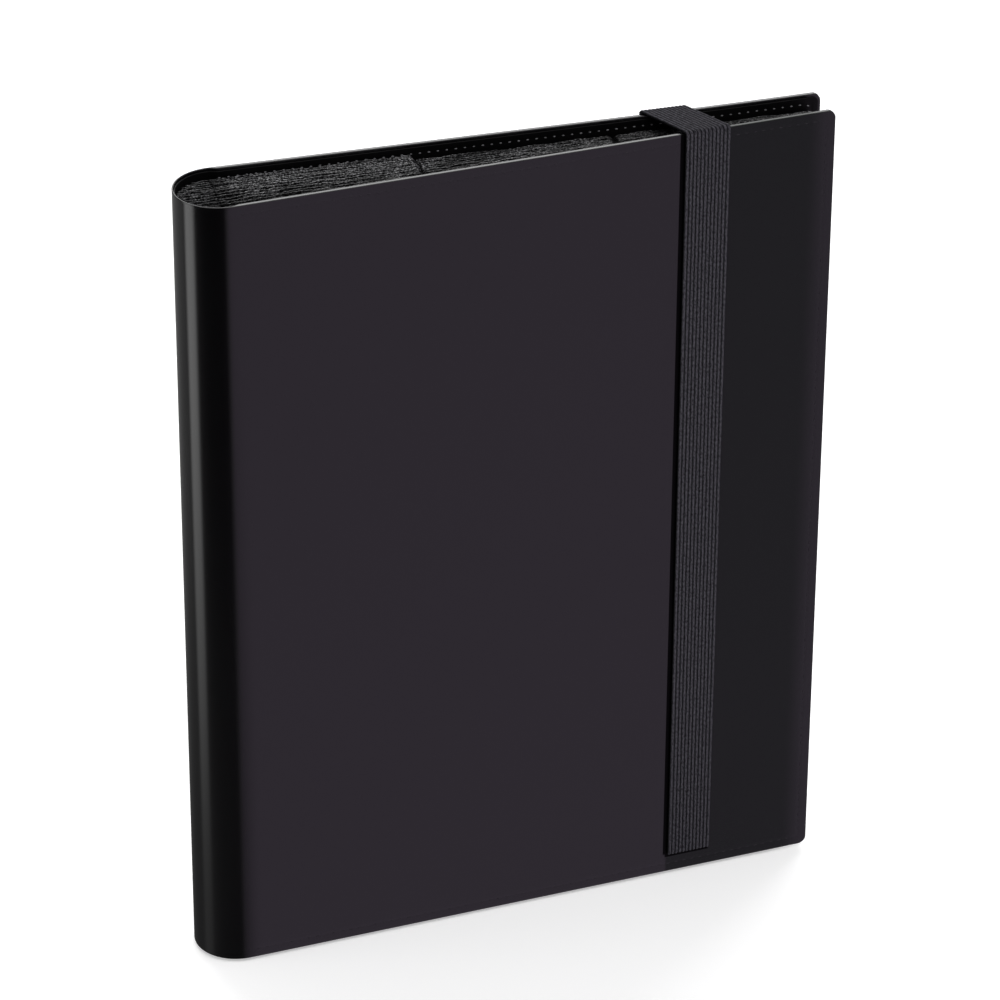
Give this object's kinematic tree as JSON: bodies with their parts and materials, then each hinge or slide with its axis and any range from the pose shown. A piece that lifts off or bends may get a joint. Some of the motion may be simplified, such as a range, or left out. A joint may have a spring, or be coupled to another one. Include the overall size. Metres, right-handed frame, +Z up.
{
  "type": "strap-closed pocket album",
  "caption": "Soft-cover pocket album with a round spine, black leaves of clear side pockets, and a wide elastic strap that goes over the top to hold it shut.",
  "frame": {"origin": "middle of the underside of the whole object, standing upright; the underside is that of the strap", "axes": "+X from the spine to the fore-edge, +Z up along the spine, and the front cover faces -Y"},
  "size_m": [0.2212, 0.0294, 0.2884],
  "materials": {
    "leatherette": "fine-grained polyurethane leatherette, satin",
    "board": "grey board",
    "lining": "smooth black lining, satin",
    "seam_thread": "twisted polyester thread",
    "leaf_sheet": "black polypropylene sheet, fine haircell",
    "pocket_film": "clear polypropylene film, glossy",
    "elastic": "ribbed knitted elastic",
    "binding_strip": "black polypropylene strip",
    "binding_thread": "twisted polyester thread",
    "hot_melt": "black hot-melt adhesive, dull"
  },
  "bodies": {
    "spine": {"spine_skin": "leatherette", "spine_lining": "lining", "glue_bed": "hot_melt", "leaf_margins": "leaf_sheet", "binding_spacers": "binding_strip", "binding_stitches": "binding_thread"},
    "front_cover": {"front_cover_skin": "leatherette", "front_cover_board": "board", "front_cover_lining": "lining", "front_cover_seam": "seam_thread"},
    "back_cover": {"back_cover_skin": "leatherette", "back_cover_board": "board", "back_cover_lining": "lining", "back_cover_seam": "seam_thread"},
    "leaf_01": {"leaf_01": "leaf_sheet", "leaf_01_pockets": "pocket_film"},
    "leaf_02": {"leaf_02": "leaf_sheet", "leaf_02_pockets": "pocket_film"},
    "leaf_03": {"leaf_03": "leaf_sheet", "leaf_03_pockets": "pocket_film"},
    "leaf_04": {"leaf_04": "leaf_sheet", "leaf_04_pockets": "pocket_film"},
    "leaf_05": {"leaf_05": "leaf_sheet", "leaf_05_pockets": "pocket_film"},
    "leaf_06": {"leaf_06": "leaf_sheet", "leaf_06_pockets": "pocket_film"},
    "leaf_07": {"leaf_07": "leaf_sheet", "leaf_07_pockets": "pocket_film"},
    "leaf_08": {"leaf_08": "leaf_sheet", "leaf_08_pockets": "pocket_film"},
    "leaf_09": {"leaf_09": "leaf_sheet", "leaf_09_pockets": "pocket_film"},
    "leaf_10": {"leaf_10": "leaf_sheet", "leaf_10_pockets": "pocket_film"},
    "leaf_11": {"leaf_11": "leaf_sheet", "leaf_11_pockets": "pocket_film"},
    "leaf_12": {"leaf_12": "leaf_sheet", "leaf_12_pockets": "pocket_film"},
    "leaf_13": {"leaf_13": "leaf_sheet", "leaf_13_pockets": "pocket_film"},
    "leaf_14": {"leaf_14": "leaf_sheet", "leaf_14_pockets": "pocket_film"},
    "leaf_15": {"leaf_15": "leaf_sheet", "leaf_15_pockets": "pocket_film"},
    "leaf_16": {"leaf_16": "leaf_sheet", "leaf_16_pockets": "pocket_film"},
    "leaf_17": {"leaf_17": "leaf_sheet", "leaf_17_pockets": "pocket_film"},
    "leaf_18": {"leaf_18": "leaf_sheet", "leaf_18_pockets": "pocket_film"},
    "leaf_19": {"leaf_19": "leaf_sheet", "leaf_19_pockets": "pocket_film"},
    "leaf_20": {"leaf_20": "leaf_sheet", "leaf_20_pockets": "pocket_film"},
    "strap": {"strap": "elastic"}
  },
  "joints": [
    {"name": "front_cover_open", "type": "hinge", "parent": "spine", "child": "front_cover", "pos_m": [-0.09528, -0.01474, 0.0012], "axis": [0, 0, -1], "range_deg": [0, 170]},
    {"name": "back_cover_open", "type": "hinge", "parent": "spine", "child": "back_cover", "pos_m": [-0.09528, 0.01474, 0.0012], "axis": [0, 0, 1], "range_deg": [0, 170]},
    {"name": "leaf_01_turn", "type": "hinge", "parent": "spine", "child": "leaf_01", "pos_m": [-0.09582, -0.01216, 0.0102], "axis": [0, 0, -1], "range_deg": [0, 62.5]},
    {"name": "leaf_02_turn", "type": "hinge", "parent": "spine", "child": "leaf_02", "pos_m": [-0.09582, -0.01088, 0.0102], "axis": [0, 0, -1], "range_deg": [0, 56.9]},
    {"name": "leaf_03_turn", "type": "hinge", "parent": "spine", "child": "leaf_03", "pos_m": [-0.09582, -0.0096, 0.0102], "axis": [0, 0, -1], "range_deg": [0, 51.3]},
    {"name": "leaf_04_turn", "type": "hinge", "parent": "spine", "child": "leaf_04", "pos_m": [-0.09582, -0.00832, 0.0102], "axis": [0, 0, -1], "range_deg": [0, 45.7]},
    {"name": "leaf_05_turn", "type": "hinge", "parent": "spine", "child": "leaf_05", "pos_m": [-0.09582, -0.00704, 0.0102], "axis": [0, 0, -1], "range_deg": [0, 40.1]},
    {"name": "leaf_06_turn", "type": "hinge", "parent": "spine", "child": "leaf_06", "pos_m": [-0.09582, -0.00576, 0.0102], "axis": [0, 0, -1], "range_deg": [0, 34.5]},
    {"name": "leaf_07_turn", "type": "hinge", "parent": "spine", "child": "leaf_07", "pos_m": [-0.09582, -0.00448, 0.0102], "axis": [0, 0, -1], "range_deg": [0, 28.9]},
    {"name": "leaf_08_turn", "type": "hinge", "parent": "spine", "child": "leaf_08", "pos_m": [-0.09582, -0.0032, 0.0102], "axis": [0, 0, -1], "range_deg": [0, 23.3]},
    {"name": "leaf_09_turn", "type": "hinge", "parent": "spine", "child": "leaf_09", "pos_m": [-0.09582, -0.00192, 0.0102], "axis": [0, 0, -1], "range_deg": [0, 17.7]},
    {"name": "leaf_10_turn", "type": "hinge", "parent": "spine", "child": "leaf_10", "pos_m": [-0.09582, -0.00064, 0.0102], "axis": [0, 0, -1], "range_deg": [0, 12.1]},
    {"name": "leaf_11_turn", "type": "hinge", "parent": "spine", "child": "leaf_11", "pos_m": [-0.09582, 0.00064, 0.0102], "axis": [0, 0, 1], "range_deg": [0, 12.1]},
    {"name": "leaf_12_turn", "type": "hinge", "parent": "spine", "child": "leaf_12", "pos_m": [-0.09582, 0.00192, 0.0102], "axis": [0, 0, 1], "range_deg": [0, 17.7]},
    {"name": "leaf_13_turn", "type": "hinge", "parent": "spine", "child": "leaf_13", "pos_m": [-0.09582, 0.0032, 0.0102], "axis": [0, 0, 1], "range_deg": [0, 23.3]},
    {"name": "leaf_14_turn", "type": "hinge", "parent": "spine", "child": "leaf_14", "pos_m": [-0.09582, 0.00448, 0.0102], "axis": [0, 0, 1], "range_deg": [0, 28.9]},
    {"name": "leaf_15_turn", "type": "hinge", "parent": "spine", "child": "leaf_15", "pos_m": [-0.09582, 0.00576, 0.0102], "axis": [0, 0, 1], "range_deg": [0, 34.5]},
    {"name": "leaf_16_turn", "type": "hinge", "parent": "spine", "child": "leaf_16", "pos_m": [-0.09582, 0.00704, 0.0102], "axis": [0, 0, 1], "range_deg": [0, 40.1]},
    {"name": "leaf_17_turn", "type": "hinge", "parent": "spine", "child": "leaf_17", "pos_m": [-0.09582, 0.00832, 0.0102], "axis": [0, 0, 1], "range_deg": [0, 45.7]},
    {"name": "leaf_18_turn", "type": "hinge", "parent": "spine", "child": "leaf_18", "pos_m": [-0.09582, 0.0096, 0.0102], "axis": [0, 0, 1], "range_deg": [0, 51.3]},
    {"name": "leaf_19_turn", "type": "hinge", "parent": "spine", "child": "leaf_19", "pos_m": [-0.09582, 0.01088, 0.0102], "axis": [0, 0, 1], "range_deg": [0, 56.9]},
    {"name": "leaf_20_turn", "type": "hinge", "parent": "spine", "child": "leaf_20", "pos_m": [-0.09582, 0.01216, 0.0102], "axis": [0, 0, 1], "range_deg": [0, 62.5]},
    {"name": "strap_release", "type": "hinge", "parent": "front_cover", "child": "strap", "pos_m": [0.06541, -0.00876, 0.0088], "axis": [0, 1, 0], "range_deg": [0, 12], "stiffness_Nm_per_rad": 0.05, "deforming": ["strap"]}
  ],
  "couplings": [
    {"joint": "leaf_01_turn", "follows": "front_cover_open", "ratio": 0.36471},
    {"joint": "leaf_02_turn", "follows": "front_cover_open", "ratio": 0.33176},
    {"joint": "leaf_03_turn", "follows": "front_cover_open", "ratio": 0.29882},
    {"joint": "leaf_04_turn", "follows": "front_cover_open", "ratio": 0.26588},
    {"joint": "leaf_05_turn", "follows": "front_cover_open", "ratio": 0.23294},
    {"joint": "leaf_06_turn", "follows": "front_cover_open", "ratio": 0.2},
    {"joint": "leaf_07_turn", "follows": "front_cover_open", "ratio": 0.16706},
    {"joint": "leaf_08_turn", "follows": "front_cover_open", "ratio": 0.13412},
    {"joint": "leaf_09_turn", "follows": "front_cover_open", "ratio": 0.10118},
    {"joint": "leaf_10_turn", "follows": "front_cover_open", "ratio": 0.06824},
    {"joint": "leaf_11_turn", "follows": "back_cover_open", "ratio": 0.06824},
    {"joint": "leaf_12_turn", "follows": "back_cover_open", "ratio": 0.10118},
    {"joint": "leaf_13_turn", "follows": "back_cover_open", "ratio": 0.13412},
    {"joint": "leaf_14_turn", "follows": "back_cover_open", "ratio": 0.16706},
    {"joint": "leaf_15_turn", "follows": "back_cover_open", "ratio": 0.2},
    {"joint": "leaf_16_turn", "follows": "back_cover_open", "ratio": 0.23294},
    {"joint": "leaf_17_turn", "follows": "back_cover_open", "ratio": 0.26588},
    {"joint": "leaf_18_turn", "follows": "back_cover_open", "ratio": 0.29882},
    {"joint": "leaf_19_turn", "follows": "back_cover_open", "ratio": 0.33176},
    {"joint": "leaf_20_turn", "follows": "back_cover_open", "ratio": 0.36471}
  ]
}
